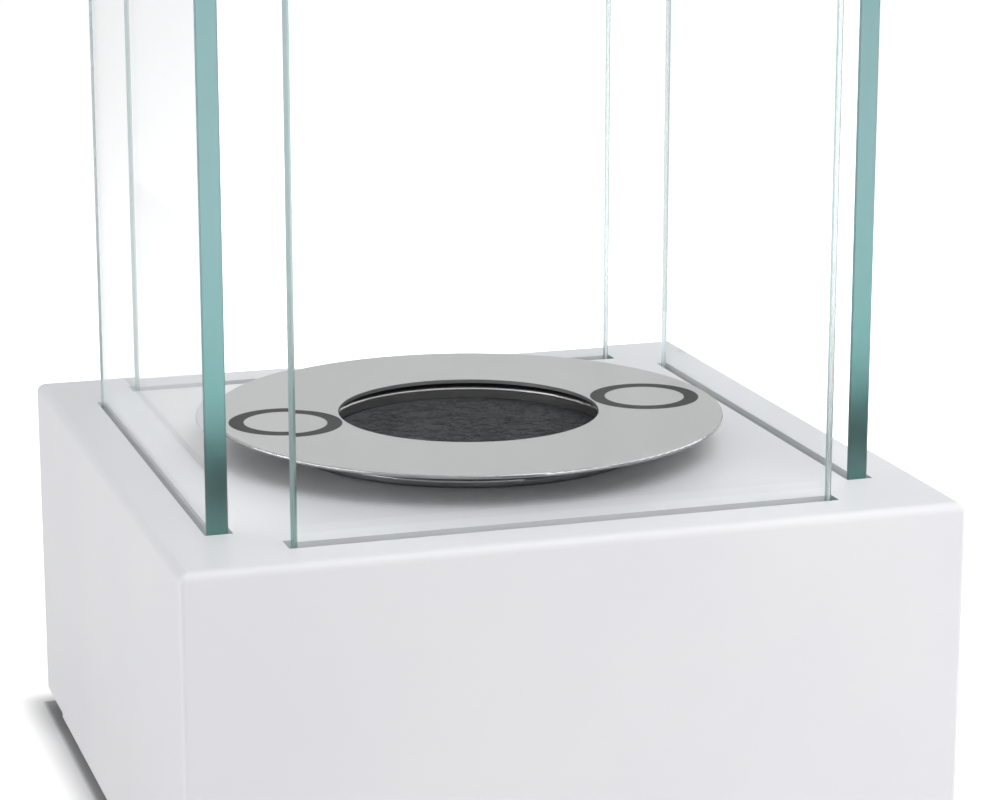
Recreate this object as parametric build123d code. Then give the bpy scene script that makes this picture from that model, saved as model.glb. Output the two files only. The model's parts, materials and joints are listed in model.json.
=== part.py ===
"""Table-top bioethanol fireplace: a white folded-steel base, four lift-out glass panels and a drop-in burner.

The frame is in millimetres. The origin is at the middle of the footprint, on the surface it stands on.
+Z is up, the front faces -Y and +X is to the right. The burner's axis is the Z axis.
"""
import os

from build123d import *

# Base: one folded box, open below, with an inward flange along each bottom edge
base_width = 200.0  # square, over the outside of the walls
housing_height = 95.0  # from the flanges' underside to the deck
sheet = 1.2  # steel of the folded box
deck_inner_radius = 1.2  # inside the folds round the deck
bend_inner_radius = 0.4  # inside the flanges' folds
corner_inner_radius = 0.2  # inside the upright corners, which are welded and ground round
flange_width = 14.0  # bottom flange, measured from the wall's outer face
corner_relief = 26.0  # stretch beside each corner that has no flange
relief_gap = 0.8  # how far above the flange's fold the wall ends there
cut_margin = 1.0  # how far a slot's or hole's cutter reaches past the sheet

# Glass panels and the slots that they stand in
glass_thickness = 5.5
glass_height = 268.0
glass_corner_radius = 2.0
glass_arris = 0.4  # ground bevel along both edges of the rim
glass_insert = 16.0  # depth below the deck's top face
slot_setback = 16.0  # from the wall's outer face to a panel's middle plane
corner_gap = 15.0  # from that plane to the neighbouring panel's end
slot_side_gap = 0.75  # slack on each face of a panel
slot_end_gap = 1.75  # slack at each end of a panel

# Channels welded under the deck, and the rubber strips in them
channel_sheet = 1.0
channel_lip = 5.0  # flange that is welded to the deck
channel_corner_gap = 1.5  # between the ends of one channel and the next one's lip
liner_floor = 2.0
liner_lip_height = 6.0
liner_lip = 0.45
liner_end_gap = 1.0

# Bottom plate, its screws and the feet
plate_sheet = 1.2
plate_gap = 0.2  # all round, to the start of the flanges' folds
plate_corner_radius = 2.5
screw_spacing = 60.0  # between the two screws of one flange
screw_radius = 1.9
screw_hole_gap = 0.25
thread_gap = 0.02
screw_head_radius = 3.5
screw_head_height = 2.0
screw_point = 3.5  # length that stands above the plate
socket_radius = 1.25
socket_depth = 1.2
ground_clearance = 1.0  # under the screw heads
foot_radius = 6.0
foot_edge = 0.8
foot_end_gap = 4.0  # from the foot's rim to the flange's end

# Burner canister: a deep-drawn outer pan whose rolled flange lies on the deck
canister_radius = 45.0
canister_sheet = 0.8
canister_depth = 50.0  # below the deck's top face
canister_draw_inner = 2.2  # inside radius round the pan's floor
deck_hole_gap = 0.75
bead_height = 2.6  # rolled flange, above the deck
bead_land = 2.6  # flat under the roll, on the deck
bead_setback = 0.3  # from the pan's wall to the roll
recess_depth = 2.0  # step in the pan's floor that holds the cup in the middle
recess_gap = 0.4

# Fuel cup and its wick
cup_gap = 4.2  # from the spigot in to the cup's rolled rim
cup_sheet = 0.8
cup_draw_inner = 2.2
cup_roll_radius = 0.9
rim_gap = 1.4  # from the cup's rim up to the cover ring
wick_gap = 0.3
wick_drop = 3.4  # from the cup's rim down to the wick
wick_base_radius = 3.0
wick_crown = 0.4

# Cover ring and the spigot welded under it
ring_glass_gap = 13.0  # from the ring's rim out to the panels
ring_lap = 2.0  # how far the ring reaches in over the cup's bore
ring_sheet = 1.0
ring_edge_flat = 0.3  # left between the two roundings of the rim
ring_top = 8.5  # above the deck
spigot_sheet = 0.8
spigot_gap = 0.4
spigot_depth = 6.0  # below the shoulder
shoulder_overhang = 2.2  # how far the shoulder reaches over the canister's flange

# Worked out from the sizes above
half_base = base_width / 2
deck_bend_radius = deck_inner_radius + sheet
bend_radius = bend_inner_radius + sheet
corner_radius = corner_inner_radius + sheet
foot_height = screw_head_height + ground_clearance
wall_bottom = foot_height + bend_radius + relief_gap
deck = foot_height + housing_height
deck_underside = deck - sheet
flange_length = base_width - 2 * corner_relief
fixing_line = half_base - (bend_radius + flange_width) / 2
slot_plane = half_base - slot_setback
slot_width = glass_thickness + 2 * slot_side_gap
glass_width = 2 * (slot_plane - corner_gap)
slot_length = glass_width + 2 * slot_end_gap
glass_bottom = deck - glass_insert
channel_half_width = slot_width / 2 + channel_sheet + channel_lip
channel_length = 2 * (slot_plane - channel_half_width - channel_corner_gap)
channel_floor = glass_bottom - liner_floor
plate_bottom = foot_height + sheet
plate_top = plate_bottom + plate_sheet
flange_top = deck + bead_height
bead_roll = (bead_height - canister_sheet) / 2
bead_inner = canister_radius + bead_setback
bead_radius = bead_inner + 2 * bead_roll + bead_land
canister_floor = deck - canister_depth
spigot_radius = canister_radius - canister_sheet - spigot_gap
spigot_bore_radius = spigot_radius - spigot_sheet
cup_bottom = canister_floor + canister_sheet
cup_bore_radius = spigot_bore_radius - cup_gap - 2 * cup_roll_radius
cup_radius = cup_bore_radius + cup_sheet
ring_underside = deck + ring_top - ring_sheet
ring_radius = slot_plane - glass_thickness / 2 - ring_glass_gap
ring_bore_radius = cup_bore_radius - ring_lap
cup_rim = ring_underside - rim_gap
wick_top = cup_rim - wick_drop

# The four sides, as quarter turns about Z from the front
sides = {"front": 0, "right": 90, "back": 180, "left": 270}


def block(x_range, y_range, z_range):
    """A box between two values on each axis."""
    size = [high - low for low, high in (x_range, y_range, z_range)]
    middle = [(high + low) / 2 for low, high in (x_range, y_range, z_range)]
    return Pos(*middle) * Box(*size)


def disc(radius, bottom, top):
    """A cylinder on the Z axis."""
    return Pos(0, 0, (bottom + top) / 2) * Cylinder(radius, top - bottom)


def outline(points, rounded=()):
    """A closed outline of (across, up) points, with (point number, radius) roundings."""
    face = Polygon(*points, align=None)
    for number, radius in rounded:
        corner = face.vertices().sort_by_distance(Vector(*points[number]))[0]
        face = fillet(corner, radius)
    return face


def turned(face):
    """Revolves a (radius, height) outline about Z."""
    return revolve(Plane.XZ * face, Axis.Z)


def run_along(face, length):
    """Extrudes an (x, z) outline to both sides of the XZ plane."""
    return extrude(Plane.XZ * face, amount=length / 2, both=True)


def fixings(positions_along):
    """The (x, y) places on the bottom flanges' middle lines, this far along from each flange's middle."""
    places = []
    for turn in sides.values():
        for along in positions_along:
            spot = Vector(along, -fixing_line, 0).rotate(Axis.Z, turn)
            places.append((spot.X, spot.Y))
    return places


screw_places = fixings((-screw_spacing / 2, screw_spacing / 2))
foot_along = flange_length / 2 - foot_end_gap - foot_radius
foot_places = {
    "front_left": (-fixing_line, -foot_along),
    "front_right": (fixing_line, -foot_along),
    "back_left": (-fixing_line, foot_along),
    "back_right": (fixing_line, foot_along),
}


def folded_block(half, bottom, top, corner, bend):
    """A square block with folds round its top, which meet in mitres, and rounded upright edges."""
    body = block((-half, half), (-half, half), (bottom, top))
    body = fillet(body.faces().sort_by(Axis.Z)[-1].edges(), bend)
    return fillet(body.edges().filter_by(Axis.Z), corner)


def make_housing():
    inside = half_base - sheet
    shell = folded_block(half_base, wall_bottom, deck, corner_radius, deck_bend_radius)
    shell -= folded_block(inside, 0, deck_underside, corner_inner_radius, deck_inner_radius)
    flange = run_along(
        outline(
            [
                (-half_base, wall_bottom),
                (-half_base, foot_height),
                (-half_base + flange_width, foot_height),
                (-half_base + flange_width, foot_height + sheet),
                (-inside, foot_height + sheet),
                (-inside, wall_bottom),
            ],
            [(1, bend_radius), (4, bend_inner_radius)],
        ),
        flange_length,
    )
    slot = block(
        (-slot_length / 2, slot_length / 2),
        (-slot_plane - slot_width / 2, -slot_plane + slot_width / 2),
        (deck_underside - cut_margin, deck + cut_margin),
    )
    for turn in sides.values():
        shell += Rot(0, 0, turn) * flange
        shell -= Rot(0, 0, turn) * slot
    shell -= disc(canister_radius + deck_hole_gap, deck_underside - cut_margin, deck + cut_margin)
    hole = disc(screw_radius + screw_hole_gap, foot_height - cut_margin, plate_bottom + cut_margin)
    for x, y in screw_places:
        shell -= Pos(x, y, 0) * hole
    return shell


def make_glass():
    """The front panel, standing in its slot."""
    panel = block(
        (-glass_width / 2, glass_width / 2),
        (-slot_plane - glass_thickness / 2, -slot_plane + glass_thickness / 2),
        (glass_bottom, glass_bottom + glass_height),
    )
    panel = fillet(panel.edges().filter_by(Axis.Y), glass_corner_radius)
    rims = panel.faces().sort_by(Axis.Y)[0].edges() + panel.faces().sort_by(Axis.Y)[-1].edges()
    return chamfer(rims, glass_arris)


def make_channel():
    """The front channel: a hat section whose lips lie against the underside of the deck."""
    inner = slot_width / 2
    outer = inner + channel_sheet
    lip = outer + channel_lip
    lip_bottom = deck_underside - channel_sheet
    floor_bottom = channel_floor - channel_sheet
    section = outline(
        [
            (-lip, deck_underside),
            (-lip, lip_bottom),
            (-outer, lip_bottom),
            (-outer, floor_bottom),
            (outer, floor_bottom),
            (outer, lip_bottom),
            (lip, lip_bottom),
            (lip, deck_underside),
            (inner, deck_underside),
            (inner, channel_floor),
            (-inner, channel_floor),
            (-inner, deck_underside),
        ]
    )
    return Pos(0, -slot_plane, 0) * Rot(0, 0, 90) * run_along(section, channel_length)


def make_liner():
    """The front rubber strip: a shallow trough between the channel and the glass."""
    outer = slot_width / 2
    inner = outer - liner_lip
    top = glass_bottom + liner_lip_height
    section = outline(
        [
            (-outer, channel_floor),
            (outer, channel_floor),
            (outer, top),
            (inner, top),
            (inner, glass_bottom),
            (-inner, glass_bottom),
            (-inner, top),
            (-outer, top),
        ]
    )
    length = channel_length - 2 * liner_end_gap
    return Pos(0, -slot_plane, 0) * Rot(0, 0, 90) * run_along(section, length)


def make_plate():
    half = half_base - bend_radius - plate_gap
    plate = block((-half, half), (-half, half), (plate_bottom, plate_top))
    plate = fillet(plate.edges().filter_by(Axis.Z), plate_corner_radius)
    hole = disc(screw_radius + thread_gap, plate_bottom - cut_margin, plate_top + cut_margin)
    for x, y in screw_places:
        plate -= Pos(x, y, 0) * hole
    return plate


def make_screw():
    """A pan-head screw that goes up through the flange into the plate."""
    head_bottom = foot_height - screw_head_height
    head = disc(screw_head_radius, head_bottom, foot_height)
    head = fillet(head.faces().sort_by(Axis.Z)[0].edges(), screw_head_height / 2)
    shank = disc(screw_radius, foot_height, plate_top + screw_point)
    shank = chamfer(shank.faces().sort_by(Axis.Z)[-1].edges(), screw_radius / 2)
    socket = extrude(Pos(0, 0, head_bottom) * RegularPolygon(socket_radius, 6), socket_depth)
    return head + shank - socket


def make_foot():
    pad = disc(foot_radius, 0, foot_height)
    return fillet(pad.faces().sort_by(Axis.Z)[0].edges(), foot_edge)


def make_canister():
    outer = canister_radius
    inner = outer - canister_sheet
    floor = canister_floor
    step = floor + recess_depth
    recess = cup_radius + recess_gap
    pan = outline(
        [
            (0, floor),
            (recess + canister_sheet, floor),
            (recess + canister_sheet, step),
            (outer, step),
            (outer, flange_top - canister_sheet),
            (bead_radius, flange_top - canister_sheet),
            (bead_radius, flange_top),
            (inner, flange_top),
            (inner, step + canister_sheet),
            (recess, step + canister_sheet),
            (recess, floor + canister_sheet),
            (0, floor + canister_sheet),
        ],
        [(3, canister_draw_inner + canister_sheet), (8, canister_draw_inner)],
    )
    bead = outline(
        [(bead_inner, deck), (bead_radius, deck), (bead_radius, flange_top), (bead_inner, flange_top)],
        [(1, bead_roll), (0, bead_roll)],
    )
    body = turned(pan) + turned(bead)
    top_edges = body.faces().filter_by(Axis.Z).sort_by(Axis.Z)[-1].edges()
    return fillet(top_edges.sort_by(lambda edge: edge.radius)[-1], bead_roll)


def make_cup():
    bottom = cup_bottom
    wall = outline(
        [
            (0, bottom),
            (cup_radius, bottom),
            (cup_radius, cup_rim - cup_roll_radius),
            (cup_bore_radius, cup_rim - cup_roll_radius),
            (cup_bore_radius, bottom + cup_sheet),
            (0, bottom + cup_sheet),
        ],
        [(1, cup_draw_inner + cup_sheet), (4, cup_draw_inner)],
    )
    roll = Pos(cup_bore_radius + cup_roll_radius, cup_rim - cup_roll_radius) * Circle(cup_roll_radius)
    return turned(wall) + turned(roll)


def make_wick():
    """The fibre filling of the cup, with its edges eased."""
    filling = disc(cup_bore_radius - wick_gap, cup_bottom + cup_sheet, wick_top)
    filling = fillet(filling.faces().sort_by(Axis.Z)[0].edges(), wick_base_radius)
    return fillet(filling.faces().sort_by(Axis.Z)[-1].edges(), wick_crown)


def make_ring():
    plate = disc(ring_radius, ring_underside, ring_underside + ring_sheet)
    plate -= disc(ring_bore_radius, ring_underside - cut_margin, ring_underside + ring_sheet + cut_margin)
    rim = plate.edges().filter_by(GeomType.CIRCLE).sort_by(lambda edge: -edge.radius)[:2]
    return fillet(rim, (ring_sheet - ring_edge_flat) / 2)


def make_spigot():
    """A short tube under the ring: its shoulder rests on the canister's flange and its skirt centres it."""
    outer = spigot_radius
    inner = spigot_bore_radius
    shoulder = outer + spigot_gap + shoulder_overhang
    return turned(
        outline(
            [
                (inner, flange_top - spigot_depth),
                (outer, flange_top - spigot_depth),
                (outer, flange_top),
                (shoulder, flange_top),
                (shoulder, flange_top + spigot_sheet),
                (outer, flange_top + spigot_sheet),
                (outer, ring_underside),
                (inner, ring_underside),
            ]
        )
    )


def make_parts():
    parts = {
        "housing": make_housing(),
        "bottom_plate": make_plate(),
        "burner_canister": make_canister(),
        "fuel_cup": make_cup(),
        "wick": make_wick(),
        "cover_ring": make_ring(),
        "ring_spigot": make_spigot(),
    }
    screw = make_screw()
    parts["bottom_screws"] = Compound(children=[Pos(x, y, 0) * screw for x, y in screw_places])
    foot = make_foot()
    for name, (x, y) in foot_places.items():
        parts["foot_" + name] = Pos(x, y, 0) * foot
    for kind, shape in (("glass", make_glass()), ("channel", make_channel()), ("liner", make_liner())):
        for side, turn in sides.items():
            parts[kind + "_" + side] = Rot(0, 0, turn) * shape
    return parts


os.makedirs("parts", exist_ok=True)
for node, shape in make_parts().items():
    export_step(shape, f"parts/{node}.step")
    box = shape.bounding_box()
    print(f"{node}: {box.size.X:.1f} x {box.size.Y:.1f} x {box.size.Z:.1f} mm, {shape.volume / 1000:.1f} cm3")
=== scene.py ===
import json
import math
import random

import bpy
from mathutils import Matrix, Vector


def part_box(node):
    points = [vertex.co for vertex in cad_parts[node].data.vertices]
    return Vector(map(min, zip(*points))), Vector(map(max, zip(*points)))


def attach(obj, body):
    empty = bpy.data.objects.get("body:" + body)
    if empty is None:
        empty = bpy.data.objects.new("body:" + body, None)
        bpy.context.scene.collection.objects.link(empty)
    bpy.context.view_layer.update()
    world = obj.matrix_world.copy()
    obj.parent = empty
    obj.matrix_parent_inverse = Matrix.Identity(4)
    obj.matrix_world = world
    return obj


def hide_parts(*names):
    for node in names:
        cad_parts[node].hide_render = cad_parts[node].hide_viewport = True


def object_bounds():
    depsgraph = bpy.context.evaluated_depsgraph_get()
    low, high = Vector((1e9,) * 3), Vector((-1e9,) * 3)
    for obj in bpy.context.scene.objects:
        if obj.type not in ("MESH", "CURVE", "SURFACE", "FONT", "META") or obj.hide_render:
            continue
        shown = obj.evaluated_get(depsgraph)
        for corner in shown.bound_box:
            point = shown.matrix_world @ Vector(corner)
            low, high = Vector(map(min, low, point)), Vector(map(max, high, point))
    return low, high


# A table-top bioethanol fireplace: finishes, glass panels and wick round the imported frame.
# The dictionaries below hold millimetres, and the scene is in metres.
mm = 0.001
tiny = 1e-6  # metres, for telling places apart
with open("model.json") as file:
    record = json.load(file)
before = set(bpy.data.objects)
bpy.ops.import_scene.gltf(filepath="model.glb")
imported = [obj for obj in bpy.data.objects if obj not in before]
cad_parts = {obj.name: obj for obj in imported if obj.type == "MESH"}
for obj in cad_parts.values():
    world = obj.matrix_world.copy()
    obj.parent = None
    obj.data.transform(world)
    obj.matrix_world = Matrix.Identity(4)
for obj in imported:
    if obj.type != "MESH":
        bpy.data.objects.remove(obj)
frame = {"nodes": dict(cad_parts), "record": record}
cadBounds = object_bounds()
scene = bpy.context.scene
print("frame loaded:", len(frame["nodes"]), "nodes")


# sRGB hex to the linear colour that a shader takes
def linear(hexColour):
    parts = [int(hexColour[i:i + 2], 16) / 255 for i in (1, 3, 5)]
    return [p / 12.92 if p <= 0.04045 else ((p + 0.055) / 1.055) ** 2.4 for p in parts] + [1.0]


# adds one node: an input, given by its name or number, takes a value or another node's output
def addNode(tree, kind, settings=None, inputs=None):
    node = tree.nodes.new(kind)
    for name, value in (settings or {}).items():
        setattr(node, name, value)
    for key, value in (inputs or {}).items():
        if isinstance(value, bpy.types.NodeSocket):
            tree.links.new(value, node.inputs[key])
        else:
            node.inputs[key].default_value = value
    return node


def emptyMaterial(name):
    material = bpy.data.materials.new(name)
    material.use_nodes = True
    material.node_tree.nodes.clear()
    return material, material.node_tree


def deselect():
    if bpy.context.object and bpy.context.object.mode != "OBJECT":
        bpy.ops.object.mode_set(mode="OBJECT")
    bpy.ops.object.select_all(action="DESELECT")


def makeActive(thing):
    deselect()
    thing.select_set(True)
    bpy.context.view_layer.objects.active = thing


# goes to edit mode with only these edges, or faces, selected
def editSelection(thing, edges=None, faces=None):
    makeActive(thing)
    bpy.ops.object.mode_set(mode="EDIT")
    bpy.ops.mesh.select_mode(type="FACE" if faces else "EDGE")
    bpy.ops.mesh.select_all(action="DESELECT")
    bpy.ops.object.mode_set(mode="OBJECT")
    mesh = thing.data
    if faces:
        for polygon in mesh.polygons:
            polygon.select = faces(polygon)
    else:
        for edge in mesh.edges:
            edge.select = edges(*(mesh.vertices[i].co for i in edge.vertices))
    bpy.ops.object.mode_set(mode="EDIT")


# the camera, at the photograph's viewing angle
view = {
    "lens": 110.0,
    "sensor": 36.0,
    "place": (-234.6, -764.1, 304.0),
    "turn": 17.72,  # degrees towards +X
    "tilt": 13.735,  # degrees down
    "near": 10.0,
    "far": 60000.0,
}
cameraData = bpy.data.cameras.new("camera")
cameraData.sensor_fit = "HORIZONTAL"
cameraData.sensor_width = view["sensor"]
cameraData.lens = view["lens"]
cameraData.clip_start = view["near"] * mm
cameraData.clip_end = view["far"] * mm
camera = bpy.data.objects.new("camera", cameraData)
camera.location = Vector(view["place"]) * mm
camera.rotation_euler = (math.radians(90 - view["tilt"]), 0, -math.radians(view["turn"]))
scene.collection.objects.link(camera)
scene.camera = camera


powderCoat = {
    "colour": "#dcdcde",
    "dusk": "#d6d6da",  # the coat where it lies a little thinner
    "roughness": 0.42,
    "ior": 1.5,
    "peelWidth": 1.6,
    "peelDepth": 0.006,
    "grainWidth": 0.3,
    "grainDepth": 0.0012,
    "cloudWidth": 60.0,
}


# satin polyester powder coat: it flows out under heat, so it keeps a faint orange peel over a very
# fine grain
def makePowderCoat():
    material, tree = emptyMaterial("whitePowderCoat")
    place = addNode(tree, "ShaderNodeTexCoord").outputs["Object"]
    cloud = addNode(tree, "ShaderNodeTexNoise", None,
                    {"Vector": place, "Scale": 1 / (powderCoat["cloudWidth"] * mm), "Detail": 2.0})
    peel = addNode(tree, "ShaderNodeTexNoise", None,
                   {"Vector": place, "Scale": 1 / (powderCoat["peelWidth"] * mm), "Detail": 1.0})
    grain = addNode(tree, "ShaderNodeTexNoise", None,
                    {"Vector": place, "Scale": 1 / (powderCoat["grainWidth"] * mm), "Detail": 2.0})
    colour = addNode(tree, "ShaderNodeMix", {"data_type": "RGBA"}, {
        0: cloud.outputs["Fac"], 6: linear(powderCoat["colour"]), 7: linear(powderCoat["dusk"])})
    waves = addNode(tree, "ShaderNodeBump", None, {
        "Distance": powderCoat["peelDepth"] * mm, "Height": peel.outputs["Fac"]})
    fine = addNode(tree, "ShaderNodeBump", None, {
        "Distance": powderCoat["grainDepth"] * mm, "Height": grain.outputs["Fac"],
        "Normal": waves.outputs["Normal"]})
    shader = addNode(tree, "ShaderNodeBsdfPrincipled", None, {
        "Base Color": colour.outputs[2], "Roughness": powderCoat["roughness"], "IOR": powderCoat["ior"],
        "Normal": fine.outputs["Normal"]})
    addNode(tree, "ShaderNodeOutputMaterial", None, {"Surface": shader.outputs["BSDF"]})
    return material


# distance from the burner's axis, in metres
def addRadius(tree, place):
    flat = addNode(tree, "ShaderNodeVectorMath", {"operation": "MULTIPLY"}, {0: place, 1: (1, 1, 0)})
    length = addNode(tree, "ShaderNodeVectorMath", {"operation": "LENGTH"}, {0: flat.outputs[0]})
    return length.outputs["Value"]


satinSteel = {
    "colour": "#b6b6b6",
    "roughness": 0.36,
    "roughnessSpread": 0.03,
    "anisotropy": 0.08,
    "grooveWidth": 0.45,  # wider than the real 0.1 mm, which the render can't show
    "grooveDepth": 0.0006,
    "grooveHarshness": 0.7,  # how much the finest grooves count
    "edgeWidth": 0.3,  # the cut edge of the ring, polished by deburring
    "edgeColour": "#a8a8a8",
    "edgeRoughness": 0.12,
    "markColour": "#414141",
    "markPlace": 50.3,  # from the axis to each mark's middle
    "markRadius": 14.8,
    "markStroke": 4.0,
    "markBlur": 0.12,
    "markRoughness": 0.75,
    "markGloss": 0.2,
}


# turned satin stainless steel: fine circular grooves draw the light out into soft spokes
def makeSatinSteel():
    material, tree = emptyMaterial("satinStainless")
    place = addNode(tree, "ShaderNodeTexCoord").outputs["Object"]
    radius = addRadius(tree, place)
    groove = addNode(tree, "ShaderNodeTexNoise", {"noise_dimensions": "1D"}, {
        "W": radius, "Scale": 1 / (satinSteel["grooveWidth"] * mm), "Detail": 3.0,
        "Roughness": satinSteel["grooveHarshness"]})
    satin = addNode(tree, "ShaderNodeMapRange", None, {
        "Value": groove.outputs["Fac"], "To Min": satinSteel["roughness"] - satinSteel["roughnessSpread"],
        "To Max": satinSteel["roughness"] + satinSteel["roughnessSpread"]})
    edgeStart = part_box("cover_ring")[1].x - satinSteel["edgeWidth"] * mm
    edge = addNode(tree, "ShaderNodeMath", {"operation": "GREATER_THAN"}, {0: radius, 1: edgeStart})
    rough = addNode(tree, "ShaderNodeMix", {"data_type": "FLOAT"}, {
        0: edge.outputs[0], 2: satin.outputs["Result"], 3: satinSteel["edgeRoughness"]})
    colour = addNode(tree, "ShaderNodeMix", {"data_type": "RGBA"}, {
        0: edge.outputs[0], 6: linear(satinSteel["colour"]), 7: linear(satinSteel["edgeColour"])})
    bump = addNode(tree, "ShaderNodeBump", None, {
        "Distance": satinSteel["grooveDepth"] * mm, "Height": groove.outputs["Fac"]})
    around = addNode(tree, "ShaderNodeTangent", {"direction_type": "RADIAL", "axis": "Z"})
    steel = addNode(tree, "ShaderNodeBsdfPrincipled", None, {
        "Base Color": colour.outputs[2], "Metallic": 1.0, "Roughness": rough.outputs[0],
        "Anisotropic": satinSteel["anisotropy"], "Tangent": around.outputs["Tangent"],
        "Normal": bump.outputs["Normal"]})
    shader = etchMarks(tree, place, steel.outputs["BSDF"])
    addNode(tree, "ShaderNodeOutputMaterial", None, {"Surface": shader})
    return material


# two plain round marks, etched dark and dull into the ring's top face
def etchMarks(tree, place, shader):
    mirrored = addNode(tree, "ShaderNodeVectorMath", {"operation": "ABSOLUTE"}, {0: place})
    away = addNode(tree, "ShaderNodeVectorMath", {"operation": "SUBTRACT"}, {
        0: mirrored.outputs[0], 1: (satinSteel["markPlace"] * mm, 0, 0)})
    distance = addRadius(tree, away.outputs[0])
    halfStroke = satinSteel["markStroke"] / 2
    line = addNode(tree, "ShaderNodeMath", {"operation": "SUBTRACT"}, {
        0: distance, 1: (satinSteel["markRadius"] - halfStroke) * mm})
    off = addNode(tree, "ShaderNodeMath", {"operation": "ABSOLUTE"}, {0: line.outputs[0]})
    ink = addNode(tree, "ShaderNodeMapRange", None, {
        "Value": off.outputs[0], "From Min": (halfStroke + satinSteel["markBlur"]) * mm,
        "From Max": (halfStroke - satinSteel["markBlur"]) * mm})
    dull = addNode(tree, "ShaderNodeBsdfPrincipled", None, {
        "Base Color": linear(satinSteel["markColour"]), "Roughness": satinSteel["markRoughness"],
        "Specular IOR Level": satinSteel["markGloss"]})
    mixed = addNode(tree, "ShaderNodeMixShader", None, {
        0: ink.outputs[0], 1: shader, 2: dull.outputs["BSDF"]})
    return mixed.outputs[0]


spigotSteel = {
    "colour": "#a8a8a8",
    "roughness": 0.38,
    "paintedShade": "#1b1a1a",
    "shadeRoughness": 0.8,
    "shadeGloss": 0.1,
    "shadeThinnest": 0.85,  # share of the steel that the painted shade hides where it is lightest
    "shadeDepth": 0.3,  # past the bore, less than the strip's thickness
    "grain": 2.5,
}


# rolled stainless strip, with painted shade, a dark patchy coat, on its inner face only
def makeSpigotSteel():
    material, tree = emptyMaterial("shadedStainless")
    place = addNode(tree, "ShaderNodeTexCoord").outputs["Object"]
    bore = min(v.co.xy.length for v in frame["nodes"]["ring_spigot"].data.vertices)
    # painted shade: the inner face, which lies in shade under the ring, is darkened in patches
    inside = addNode(tree, "ShaderNodeMath", {"operation": "LESS_THAN"}, {
        0: addRadius(tree, place), 1: bore + spigotSteel["shadeDepth"] * mm})
    grain = addNode(tree, "ShaderNodeTexNoise", None, {
        "Vector": place, "Scale": 1 / (spigotSteel["grain"] * mm), "Detail": 3.0})
    shadeShare = addNode(tree, "ShaderNodeMapRange", None, {
        "Value": grain.outputs["Fac"], "To Min": spigotSteel["shadeThinnest"]})
    paintedShade = addNode(tree, "ShaderNodeMath", {"operation": "MULTIPLY"}, {
        0: inside.outputs[0], 1: shadeShare.outputs["Result"]})
    steel = addNode(tree, "ShaderNodeBsdfPrincipled", None, {
        "Base Color": linear(spigotSteel["colour"]), "Metallic": 1.0,
        "Roughness": spigotSteel["roughness"]})
    black = addNode(tree, "ShaderNodeBsdfPrincipled", None, {
        "Base Color": linear(spigotSteel["paintedShade"]), "Roughness": spigotSteel["shadeRoughness"],
        "Specular IOR Level": spigotSteel["shadeGloss"]})
    mixed = addNode(tree, "ShaderNodeMixShader", None, {
        0: paintedShade.outputs[0], 1: steel.outputs["BSDF"], 2: black.outputs["BSDF"]})
    addNode(tree, "ShaderNodeOutputMaterial", None, {"Surface": mixed.outputs[0]})
    return material


# the pan is drawn and mirror-polished where its rolled flange shows, the cup only brightened
polished = {
    "colour": "#9a9a9a",
    "roughness": 0.12,
    "drawWidth": 0.8,
    "drawDepth": 0.001,
    "drawStretch": 25.0,  # times longer round the pan than high
}
brightened = polished | {"colour": "#c4c3c1", "roughness": 0.24, "drawDepth": 0.0015}


# deep-drawn stainless steel: bright, with faint rings left by the drawing
def makeDrawnSteel(name, kind):
    material, tree = emptyMaterial(name)
    place = addNode(tree, "ShaderNodeTexCoord").outputs["Object"]
    flat = 1 / kind["drawStretch"]
    squeezed = addNode(tree, "ShaderNodeVectorMath", {"operation": "MULTIPLY"}, {
        0: place, 1: (flat, flat, 1)})
    lines = addNode(tree, "ShaderNodeTexNoise", None, {
        "Vector": squeezed.outputs[0], "Scale": 1 / (kind["drawWidth"] * mm), "Detail": 2.0})
    bump = addNode(tree, "ShaderNodeBump", None, {
        "Distance": kind["drawDepth"] * mm, "Height": lines.outputs["Fac"]})
    shader = addNode(tree, "ShaderNodeBsdfPrincipled", None, {
        "Base Color": linear(kind["colour"]), "Metallic": 1.0, "Roughness": kind["roughness"],
        "Normal": bump.outputs["Normal"]})
    addNode(tree, "ShaderNodeOutputMaterial", None, {"Surface": shader.outputs["BSDF"]})
    return material


galvanised = {
    "colour": "#a9adb0",
    "pale": "#c0c4c6",
    "roughness": 0.42,
    "roughnessSpread": 0.1,
    "spangle": 9.0,
    "frayed": 0.003,  # how far noise bends the crystals' edges
}


# hot-dip galvanised sheet: flat zinc crystals, each turned a little to the light
def makeGalvanised():
    material, tree = emptyMaterial("galvanisedSheet")
    place = addNode(tree, "ShaderNodeTexCoord").outputs["Object"]
    size = 1 / (galvanised["spangle"] * mm)
    bend = addNode(tree, "ShaderNodeTexNoise", None, {"Vector": place, "Scale": size})
    bent = addNode(tree, "ShaderNodeMix", {"data_type": "VECTOR"}, {
        0: galvanised["frayed"], 4: place, 5: bend.outputs["Color"]})
    crystal = addNode(tree, "ShaderNodeTexVoronoi", None, {"Vector": bent.outputs[1], "Scale": size})
    tint = addNode(tree, "ShaderNodeSeparateColor", None, {"Color": crystal.outputs["Color"]})
    colour = addNode(tree, "ShaderNodeMix", {"data_type": "RGBA"}, {
        0: tint.outputs["Red"], 6: linear(galvanised["colour"]), 7: linear(galvanised["pale"])})
    rough = addNode(tree, "ShaderNodeMapRange", None, {
        "Value": tint.outputs["Green"], "To Min": galvanised["roughness"] - galvanised["roughnessSpread"],
        "To Max": galvanised["roughness"] + galvanised["roughnessSpread"]})
    shader = addNode(tree, "ShaderNodeBsdfPrincipled", None, {
        "Base Color": colour.outputs[2], "Metallic": 1.0, "Roughness": rough.outputs["Result"]})
    addNode(tree, "ShaderNodeOutputMaterial", None, {"Surface": shader.outputs["BSDF"]})
    return material


zinc = {"colour": "#b9bcbf", "roughness": 0.3, "roughnessSpread": 0.1, "mottle": 1.2}


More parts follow.
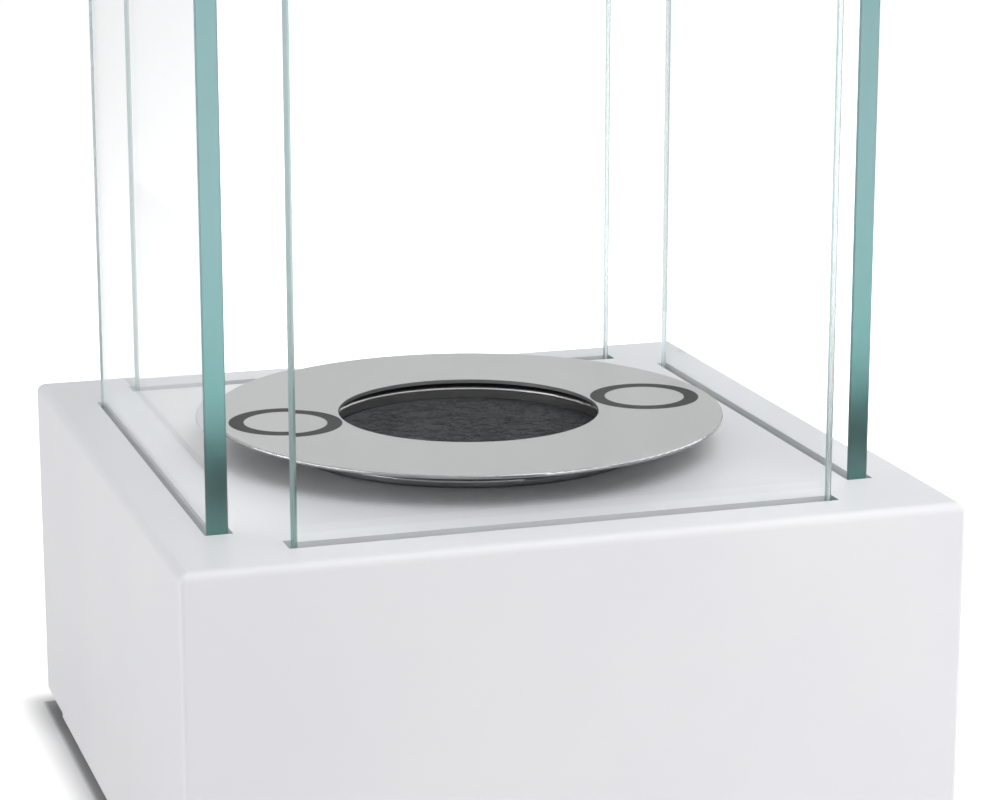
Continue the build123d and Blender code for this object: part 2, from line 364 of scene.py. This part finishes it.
# blue-passivated zinc plate on a cold-headed screw: bright, a little mottled
def makeZinc():
    material, tree = emptyMaterial("zincPlate")
    place = addNode(tree, "ShaderNodeTexCoord").outputs["Object"]
    mottle = addNode(tree, "ShaderNodeTexNoise", None, {
        "Vector": place, "Scale": 1 / (zinc["mottle"] * mm), "Detail": 3.0})
    rough = addNode(tree, "ShaderNodeMapRange", None, {
        "Value": mottle.outputs["Fac"], "To Min": zinc["roughness"] - zinc["roughnessSpread"],
        "To Max": zinc["roughness"] + zinc["roughnessSpread"]})
    shader = addNode(tree, "ShaderNodeBsdfPrincipled", None, {
        "Base Color": linear(zinc["colour"]), "Metallic": 1.0, "Roughness": rough.outputs["Result"]})
    addNode(tree, "ShaderNodeOutputMaterial", None, {"Surface": shader.outputs["BSDF"]})
    return material


footRubber = {
    "colour": "#1d1d1e",
    "bloom": "#2b2b2c",
    "roughness": 0.7,
    "grain": 0.5,
    "grainDepth": 0.01,
    "bloomWidth": 4.0,
}
liner = {
    "colour": "#b9bcbc",
    "bloom": "#c6c9c8",
    "roughness": 0.55,
    "grain": 1.0,
    "grainDepth": 0.004,
    "bloomWidth": 8.0,
}


# moulded rubber or extruded silicone: dull, with a fine skin and a pale bloom in patches
def makeRubber(name, kind):
    material, tree = emptyMaterial(name)
    place = addNode(tree, "ShaderNodeTexCoord").outputs["Object"]
    grain = addNode(tree, "ShaderNodeTexNoise", None, {
        "Vector": place, "Scale": 1 / (kind["grain"] * mm), "Detail": 4.0})
    patch = addNode(tree, "ShaderNodeTexNoise", None, {
        "Vector": place, "Scale": 1 / (kind["bloomWidth"] * mm)})
    colour = addNode(tree, "ShaderNodeMix", {"data_type": "RGBA"}, {
        0: patch.outputs["Fac"], 6: linear(kind["colour"]), 7: linear(kind["bloom"])})
    bump = addNode(tree, "ShaderNodeBump", None, {
        "Distance": kind["grainDepth"] * mm, "Height": grain.outputs["Fac"]})
    shader = addNode(tree, "ShaderNodeBsdfPrincipled", None, {
        "Base Color": colour.outputs[2], "Roughness": kind["roughness"],
        "Normal": bump.outputs["Normal"]})
    addNode(tree, "ShaderNodeOutputMaterial", None, {"Surface": shader.outputs["BSDF"]})
    return material


# finishes by material slot, then the two nodes that differ from their slot's common finish
finishes = {
    "white_powder_coat": makePowderCoat(),
    "polished_stainless": makeDrawnSteel("polishedStainless", polished),
    "galvanised_sheet": makeGalvanised(),
    "zinc_screw": makeZinc(),
    "foot_rubber": makeRubber("footRubber", footRubber),
    "liner_silicone": makeRubber("linerSilicone", liner),
    "satin_stainless": makeSatinSteel(),
}
slotOf = {part["node"]: part["material_slot"] for part in frame["record"]["subparts"]}
for name, node in frame["nodes"].items():
    if slotOf[name] in finishes:
        node.material_slots[0].material = finishes[slotOf[name]]
frame["nodes"]["fuel_cup"].material_slots[0].material = makeDrawnSteel("brightenedStainless", brightened)
frame["nodes"]["ring_spigot"].material_slots[0].material = makeSpigotSteel()
print("finishes set on the frame's nodes")


glass = {
    "cornerRadius": 2.0,
    "cornerSteps": 6,
    "arris": 0.4,  # flat bevel ground along both edges of the rim
    "facing": 0.99,  # a face squarer than this to the front is polished, and every other is rim
    "rimFacing": 0.1,  # a rim face turned further than this to the front is arris
    "smoothBelow": 20.0,  # degrees
    "lift": 0.03,  # off the rubber strip, so that the two faces don't coincide
    "ior": 1.52,
    "rimRoughness": 0.4,
    "arrisColour": "#68847f",
    "rimPale": "#9fbcbe",
    "rimPaintedShade": "#74aea8",  # painted shade, deepest near the slot, where the light has run through more glass and the dark slot shows
    "deepBelow": 94.0,
    "paleAbove": 165.0,
    "tint": "#8cc8c8",
    "density": 4.0,  # absorption per metre, times one minus the tint
}


# clear float glass, toughened: polished faces, a matt ground rim, and a green cast that grows with depth
def makeGlass():
    material, tree = emptyMaterial("floatGlass")
    rim = addNode(tree, "ShaderNodeAttribute", {"attribute_name": "rim"}).outputs["Fac"]
    arris = addNode(tree, "ShaderNodeAttribute", {"attribute_name": "arris"}).outputs["Fac"]
    rough = addNode(tree, "ShaderNodeMath", {"operation": "MULTIPLY"}, {0: rim, 1: glass["rimRoughness"]})
    place = addNode(tree, "ShaderNodeTexCoord").outputs["Object"]
    height = addNode(tree, "ShaderNodeSeparateXYZ", None, {"Vector": place}).outputs["Z"]
    # painted shade: the rim's colour darkens from pale above to deep teal towards the slot
    up = addNode(tree, "ShaderNodeMapRange", None, {
        "Value": height, "From Min": glass["deepBelow"] * mm, "From Max": glass["paleAbove"] * mm})
    rimShade = addNode(tree, "ShaderNodeMix", {"data_type": "RGBA"}, {
        0: up.outputs["Result"], 6: linear(glass["rimPaintedShade"]), 7: linear(glass["rimPale"])})
    ground = addNode(tree, "ShaderNodeMix", {"data_type": "RGBA"}, {
        0: arris, 6: rimShade.outputs[2], 7: linear(glass["arrisColour"])})
    colour = addNode(tree, "ShaderNodeMix", {"data_type": "RGBA"}, {
        0: rim, 6: (1, 1, 1, 1), 7: ground.outputs[2]})
    body = addNode(tree, "ShaderNodeBsdfPrincipled", None, {
        "Base Color": colour.outputs[2], "Roughness": rough.outputs[0], "IOR": glass["ior"],
        "Transmission Weight": 1.0})
    clear = addNode(tree, "ShaderNodeBsdfTransparent")
    shadow = addNode(tree, "ShaderNodeLightPath").outputs["Is Shadow Ray"]
    surface = addNode(tree, "ShaderNodeMixShader", None, {
        0: shadow, 1: body.outputs["BSDF"], 2: clear.outputs["BSDF"]})
    volume = addNode(tree, "ShaderNodeVolumeAbsorption", None, {
        "Color": linear(glass["tint"]), "Density": glass["density"]})
    addNode(tree, "ShaderNodeOutputMaterial", None, {
        "Surface": surface.outputs[0], "Volume": volume.outputs[0]})
    return material


def makePanel(material):
    low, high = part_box("glass_front")
    low.z += glass["lift"] * mm
    deselect()
    bpy.ops.mesh.primitive_cube_add(size=1, location=(low + high) / 2)
    panel = bpy.context.object
    panel.scale = high - low
    bpy.ops.object.transform_apply(location=True, rotation=False, scale=True)

    def throughThickness(a, b):
        return abs(a.y - b.y) > (high.y - low.y) / 2

    def roundFaces(a, b):
        return abs(a.y - b.y) < tiny

    editSelection(panel, edges=throughThickness)
    bpy.ops.mesh.bevel(offset=glass["cornerRadius"] * mm, segments=glass["cornerSteps"])
    editSelection(panel, edges=roundFaces)
    bpy.ops.mesh.bevel(offset=glass["arris"] * mm, segments=1)
    bpy.ops.object.mode_set(mode="OBJECT")
    bpy.ops.object.shade_smooth_by_angle(angle=math.radians(glass["smoothBelow"]))
    rim = panel.data.attributes.new("rim", "FLOAT", "FACE")
    arris = panel.data.attributes.new("arris", "FLOAT", "FACE")
    for polygon in panel.data.polygons:
        across = abs(polygon.normal.y)
        rim.data[polygon.index].value = float(across < glass["facing"])
        arris.data[polygon.index].value = float(glass["rimFacing"] < across < glass["facing"])
    panel.data.materials.append(material)
    return panel


panelMaterial = makeGlass()
firstPanel = makePanel(panelMaterial)
for turns, side in enumerate(("front", "right", "back", "left")):
    panel = firstPanel if turns == 0 else bpy.data.objects.new("panel", firstPanel.data.copy())
    if turns:
        scene.collection.objects.link(panel)
        panel.data.transform(Matrix.Rotation(turns * math.pi / 2, 4, "Z"))
    panel.name = "glass_panel_" + side
    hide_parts("glass_" + side)
    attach(panel, "glass_" + side)
print("glass panels made")


wick = {
    "rings": 44,
    "around": 128,
    "ringed": 0.97,  # share of the radius that the rings cross
    "loose": 0.99,  # share of the radius that the waves move, so that the wick's edge stays whole
    "sink": 0.8,  # share of each wave that goes down
    "smoothBelow": 40.0,  # degrees
    "waveWidth": 5.0,
    "waveDepth": 0.5,
    "fleckWidth": 1.1,
    "fleckDepth": 0.25,
    "strands": 900,
    "strandLength": (3.0, 8.0),
    "strandRadius": 0.07,
    "strandCurl": 0.9,
    "strandSunk": 0.35,
    "strandRise": (-0.2, 0.25),
    "strandKeep": 0.6,  # share of a strand's length that its middle keeps off the wick's edge
    "roughness": 0.95,
    "colour": "#343436",
    "pale": "#606062",
    "seed": 7,
}


# ceramic-fibre wool darkened by soot: matt, charcoal, with paler single fibres
def makeWool():
    material, tree = emptyMaterial("ceramicFibreWool")
    place = addNode(tree, "ShaderNodeTexCoord").outputs["Object"]
    fleck = addNode(tree, "ShaderNodeTexNoise", None, {
        "Vector": place, "Scale": 1 / (wick["fleckWidth"] * mm), "Detail": 4.0})
    colour = addNode(tree, "ShaderNodeMix", {"data_type": "RGBA"}, {
        0: fleck.outputs["Fac"], 6: linear(wick["colour"]), 7: linear(wick["pale"])})
    shader = addNode(tree, "ShaderNodeBsdfPrincipled", None, {
        "Base Color": colour.outputs[2], "Roughness": wick["roughness"], "Specular IOR Level": 0.0})
    addNode(tree, "ShaderNodeOutputMaterial", None, {"Surface": shader.outputs["BSDF"]})
    return material


def makeWickBody():
    low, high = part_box("wick")
    radius = (high.x - low.x) / 2
    deselect()
    bpy.ops.mesh.primitive_cylinder_add(vertices=wick["around"], radius=radius, depth=high.z - low.z,
                                        location=(0, 0, (low.z + high.z) / 2))
    body = bpy.context.object
    bpy.ops.object.transform_apply(location=True, rotation=False, scale=True)
    editSelection(body, faces=lambda polygon: polygon.normal.z > 0.9)
    for _ in range(wick["rings"]):
        bpy.ops.mesh.inset(thickness=radius * wick["ringed"] / wick["rings"])
    bpy.ops.mesh.poke()
    bpy.ops.object.mode_set(mode="OBJECT")
    top = body.vertex_groups.new(name="top")
    moved = [v.index for v in body.data.vertices
             if v.co.z > high.z - 10 * tiny and v.co.xy.length < radius * wick["loose"]]
    top.add(moved, 1.0, "REPLACE")
    for kind in ("wave", "fleck"):
        clouds = bpy.data.textures.new("wool", "CLOUDS")
        clouds.noise_scale = wick[kind + "Width"] * mm
        push = body.modifiers.new("push", "DISPLACE")
        push.texture = clouds
        push.texture_coords = "LOCAL"
        push.direction = "Z"
        push.mid_level = wick["sink"]
        push.strength = wick[kind + "Depth"] * mm
        push.vertex_group = "top"
        bpy.ops.object.modifier_apply(modifier=push.name)
    bpy.ops.object.shade_smooth_by_angle(angle=math.radians(wick["smoothBelow"]))
    return body


# loose single fibres that lie on the wool, as one curve made a mesh
def makeStrands(top, radius):
    draw = random.Random(wick["seed"])
    curve = bpy.data.curves.new("strands", "CURVE")
    curve.dimensions = "3D"
    curve.bevel_depth = wick["strandRadius"] * mm
    curve.bevel_resolution = 0
    curve.resolution_u = 4
    for _ in range(wick["strands"]):
        length = draw.uniform(*wick["strandLength"]) * mm
        heading = draw.uniform(0, 2 * math.pi)
        curl = draw.uniform(-wick["strandCurl"], wick["strandCurl"])
        reach = (radius - length * wick["strandKeep"]) * math.sqrt(draw.random())
        bearing = draw.uniform(0, 2 * math.pi)
        middle = Vector((reach * math.cos(bearing), reach * math.sin(bearing),
                         top - draw.uniform(0.0, wick["strandSunk"]) * mm))
        spline = curve.splines.new("BEZIER")
        spline.bezier_points.add(2)
        for k, point in enumerate(spline.bezier_points):
            along = (k - 1) * length / 2
            side = curl * along * along / length
            rise = draw.uniform(*wick["strandRise"]) * mm
            point.co = middle + Vector((along * math.cos(heading) - side * math.sin(heading),
                                        along * math.sin(heading) + side * math.cos(heading), rise))
            point.handle_left_type = point.handle_right_type = "AUTO"
    strands = bpy.data.objects.new("strands", curve)
    scene.collection.objects.link(strands)
    makeActive(strands)
    bpy.ops.object.convert(target="MESH")
    return bpy.context.object


wickBody = makeWickBody()
wickLow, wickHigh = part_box("wick")
wickStrands = makeStrands(wickHigh.z, (wickHigh.x - wickLow.x) / 2)
makeActive(wickBody)
wickStrands.select_set(True)
bpy.ops.object.join()
wickBody.name = "wick_wool"
wickBody.data.materials.clear()
wickBody.data.materials.append(makeWool())
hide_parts("wick")
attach(wickBody, "cup")
print("wick made:", len(wickBody.data.polygons), "faces")


# what stands round the object: lights are in millimetres and watts, levels are of white
stage = {
    "floorRadius": 9000.0,
    "floorSides": 96,
    "floorColour": "#ffffff",
    "frontDarkReflection": "#2c2c2e",  # painted reflection: the floor in front as the panels mirror it, dim as a dark room would be, which keeps them clear
    "darkBefore": -115.0,
    "leftDullReflection": "#b8b8ba",  # painted reflection: the floor on the left, as the left panel mirrors it
    "dullBefore": -110.0,
    "clearBeyond": 110.0,  # to the right of this the steel inside the glass still mirrors a white floor
    "floorPaintedShadow": "#b4b4b6",  # painted contact shadow under the base's rim, where no light comes in
    "footWidth": 2.0,
    "floorGlow": 0.5,
    "glassGain": 0.7,  # more of the glow for the floor seen through the panels, to make up for their tint
    "glowWidth": 13.0,
    "ambient": 0.46,
    "horizon": 0.27,
    "ceiling": 0.77,
    "ceilingFrom": 0.9,  # sine of the height from which a mirror sees the ceiling
    "aimHeight": 100.0,
    "bounces": 32,
}
softboxes = {
    "overhead": {"place": (450, -550, 1380), "size": (1200, 1200), "power": 12.4},
    # nothing mirrors this one: it is so close that it would burn out the steel seen from behind
    "rightFront": {"place": (500, -490, 290), "size": (400, 400), "power": 1.5, "mirrored": False},
    "rightBack": {"place": (700, 500, 600), "size": (500, 500), "power": 1.5},
    "leftSide": {"place": (-1100, -100, 350), "size": (900, 700), "power": 1.8},
    "leftLow": {"place": (-760, 0, 55), "size": (900, 90), "power": 1.8},
}


# the ray's own signs: seen by the camera, straight or through glass, and clean before any matt bounce
def addRaySigns(tree):
    rays = addNode(tree, "ShaderNodeLightPath").outputs
    seen = addNode(tree, "ShaderNodeMath", {"operation": "MAXIMUM"}, {
        0: rays["Is Camera Ray"], 1: rays["Is Transmission Ray"]})
    clean = addNode(tree, "ShaderNodeMath", {"operation": "LESS_THAN"}, {
        0: rays["Diffuse Depth"], 1: 0.5})
    return rays, seen.outputs[0], clean.outputs[0]


# distance from the base's outline on the floor, in metres
def addDistance(tree, place):
    high = cadBounds[1]
    mirrored = addNode(tree, "ShaderNodeVectorMath", {"operation": "ABSOLUTE"}, {0: place})
    past = addNode(tree, "ShaderNodeVectorMath", {"operation": "SUBTRACT"}, {
        0: mirrored.outputs[0], 1: (high.x, high.y, 0)})
    outside = addNode(tree, "ShaderNodeVectorMath", {"operation": "MAXIMUM"}, {
        0: past.outputs[0], 1: (0, 0, 0)})
    return addRadius(tree, outside.outputs[0])


# painted reflections: where the front floor is dark and the left floor dull, each only to a ray that has
# been mirrored
def addMirroredZones(tree, place, rays, clean):
    parts = addNode(tree, "ShaderNodeSeparateXYZ", None, {"Vector": place}).outputs
    mirrors = addNode(tree, "ShaderNodeMath", {"operation": "GREATER_THAN"}, {
        0: rays["Glossy Depth"], 1: 0.5})
    bounced = addNode(tree, "ShaderNodeMath", {"operation": "MULTIPLY"}, {0: mirrors.outputs[0], 1: clean})
    before = addNode(tree, "ShaderNodeMath", {"operation": "LESS_THAN"}, {
        0: parts["Y"], 1: stage["darkBefore"] * mm})
    beyond = addNode(tree, "ShaderNodeMath", {"operation": "GREATER_THAN"}, {
        0: parts["X"], 1: stage["clearBeyond"] * mm})
    inside = addNode(tree, "ShaderNodeMath", {"operation": "GREATER_THAN"}, {
        0: rays["Transmission Depth"], 1: 2.5})  # in through one panel and out by another
    spared = addNode(tree, "ShaderNodeMath", {"operation": "MULTIPLY"}, {
        0: beyond.outputs[0], 1: inside.outputs[0]})
    held = addNode(tree, "ShaderNodeMath", {"operation": "SUBTRACT"}, {
        0: before.outputs[0], 1: spared.outputs[0]})
    dark = addNode(tree, "ShaderNodeMath", {"operation": "MULTIPLY", "use_clamp": True}, {
        0: bounced.outputs[0], 1: held.outputs[0]})
    left = addNode(tree, "ShaderNodeMath", {"operation": "LESS_THAN"}, {
        0: parts["X"], 1: stage["dullBefore"] * mm})
    dull = addNode(tree, "ShaderNodeMath", {"operation": "MULTIPLY"}, {
        0: bounced.outputs[0], 1: left.outputs[0]})
    return dark.outputs[0], dull.outputs[0]


# the floor is white, and a painted contact shadow stays close to the base: a darker colour right at its
# outline, and a glow that fades out towards it
def makeFloor():
    deselect()
    bpy.ops.mesh.primitive_circle_add(vertices=stage["floorSides"], radius=stage["floorRadius"] * mm,
                                      fill_type="NGON")
    floor = bpy.context.object
    floor.name = "floor"
    material, tree = emptyMaterial("paleFloor")
    place = addNode(tree, "ShaderNodeTexCoord").outputs["Object"]
    rays, seen, clean = addRaySigns(tree)
    away = addDistance(tree, place)
    dark, dull = addMirroredZones(tree, place, rays, clean)
    foot = addNode(tree, "ShaderNodeMapRange", {"interpolation_type": "SMOOTHSTEP"}, {
        "Value": away, "From Min": 0.0, "From Max": stage["footWidth"] * mm})
    white = addNode(tree, "ShaderNodeMix", {"data_type": "RGBA"}, {
        0: foot.outputs["Result"], 6: linear(stage["floorPaintedShadow"]), 7: linear(stage["floorColour"])})
    duller = addNode(tree, "ShaderNodeMix", {"data_type": "RGBA"}, {
        0: dull, 6: white.outputs[2], 7: linear(stage["leftDullReflection"])})
    colour = addNode(tree, "ShaderNodeMix", {"data_type": "RGBA"}, {
        0: dark, 6: duller.outputs[2], 7: linear(stage["frontDarkReflection"])})
    # painted contact shadow: no glow at the base's outline, full glow from glowWidth out
    glow = addNode(tree, "ShaderNodeMapRange", {"interpolation_type": "SMOOTHSTEP"}, {
        "Value": away, "From Min": 0.0, "From Max": stage["glowWidth"] * mm, "To Max": stage["floorGlow"]})
    through = addNode(tree, "ShaderNodeMath", {"operation": "MULTIPLY"}, {
        0: rays["Is Transmission Ray"], 1: clean})
    gain = addNode(tree, "ShaderNodeMath", {"operation": "MULTIPLY_ADD"}, {
        0: through.outputs[0], 1: stage["glassGain"], 2: seen})
    shine = addNode(tree, "ShaderNodeMath", {"operation": "MULTIPLY"}, {
        0: gain.outputs[0], 1: glow.outputs["Result"]})
    lit = addNode(tree, "ShaderNodeMix", {"data_type": "FLOAT"}, {0: dark, 2: shine.outputs[0], 3: 0.0})
    shader = addNode(tree, "ShaderNodeBsdfPrincipled", None, {
        "Base Color": colour.outputs[2], "Roughness": 1.0, "Specular IOR Level": 0.0,
        "Emission Color": (1, 1, 1, 1), "Emission Strength": lit.outputs[0]})
    addNode(tree, "ShaderNodeOutputMaterial", None, {"Surface": shader.outputs["BSDF"]})
    floor.data.materials.append(material)


def makeSoftbox(name, settings):
    light = bpy.data.lights.new(name, "AREA")
    light.shape = "RECTANGLE"
    light.size, light.size_y = (size * mm for size in settings["size"])
    light.energy = settings["power"]
    box = bpy.data.objects.new(name, light)
    box.visible_glossy = box.visible_transmission = settings.get("mirrored", True)
    box.location = Vector(settings["place"]) * mm
    aim = Vector((0, 0, stage["aimHeight"] * mm))
    box.rotation_euler = (aim - box.location).to_track_quat("-Z", "Y").to_euler()
    scene.collection.objects.link(box)


# white all round to the camera: shiny surfaces see it darker towards the horizon, matt ones see it
# dimmed evenly
def makeWorld():
    world = bpy.data.worlds.new("studio")
    scene.world = world
    world.use_nodes = True
    tree = world.node_tree
    tree.nodes.clear()
    rays, seen, clean = addRaySigns(tree)
    direction = addNode(tree, "ShaderNodeTexCoord").outputs["Generated"]
    height = addNode(tree, "ShaderNodeSeparateXYZ", None, {"Vector": direction}).outputs["Z"]
    mirrored = addNode(tree, "ShaderNodeMapRange", None, {
        "Value": height, "From Min": 0.0, "From Max": stage["ceilingFrom"], "To Min": stage["horizon"],
        "To Max": stage["ceiling"]})
    within = addNode(tree, "ShaderNodeMath", {"operation": "GREATER_THAN"}, {
        0: rays["Transmission Depth"], 1: 1.5})  # seen from inside the glass, gaps are as bright as panels
    bright = addNode(tree, "ShaderNodeMath", {"operation": "MAXIMUM"}, {0: seen, 1: within.outputs[0]})
    white = addNode(tree, "ShaderNodeMath", {"operation": "MULTIPLY"}, {0: bright.outputs[0], 1: clean})
    lit = addNode(tree, "ShaderNodeMix", {"data_type": "FLOAT"}, {
        0: rays["Is Glossy Ray"], 2: stage["ambient"], 3: mirrored.outputs["Result"]})
    level = addNode(tree, "ShaderNodeMix", {"data_type": "FLOAT"}, {
        0: white.outputs[0], 2: lit.outputs[0], 3: 1.0})
    background = addNode(tree, "ShaderNodeBackground", None, {
        "Color": (1, 1, 1, 1), "Strength": level.outputs[0]})
    addNode(tree, "ShaderNodeOutputWorld", None, {"Surface": background.outputs[0]})


makeFloor()
for name, settings in softboxes.items():
    makeSoftbox(name, settings)
makeWorld()
scene.view_settings.view_transform = "Standard"
# light that reaches the burner crosses many faces of glass
for kind in ("max_bounces", "transmission_bounces", "glossy_bounces", "transparent_max_bounces"):
    setattr(scene.cycles, kind, stage["bounces"])
print("stage made")
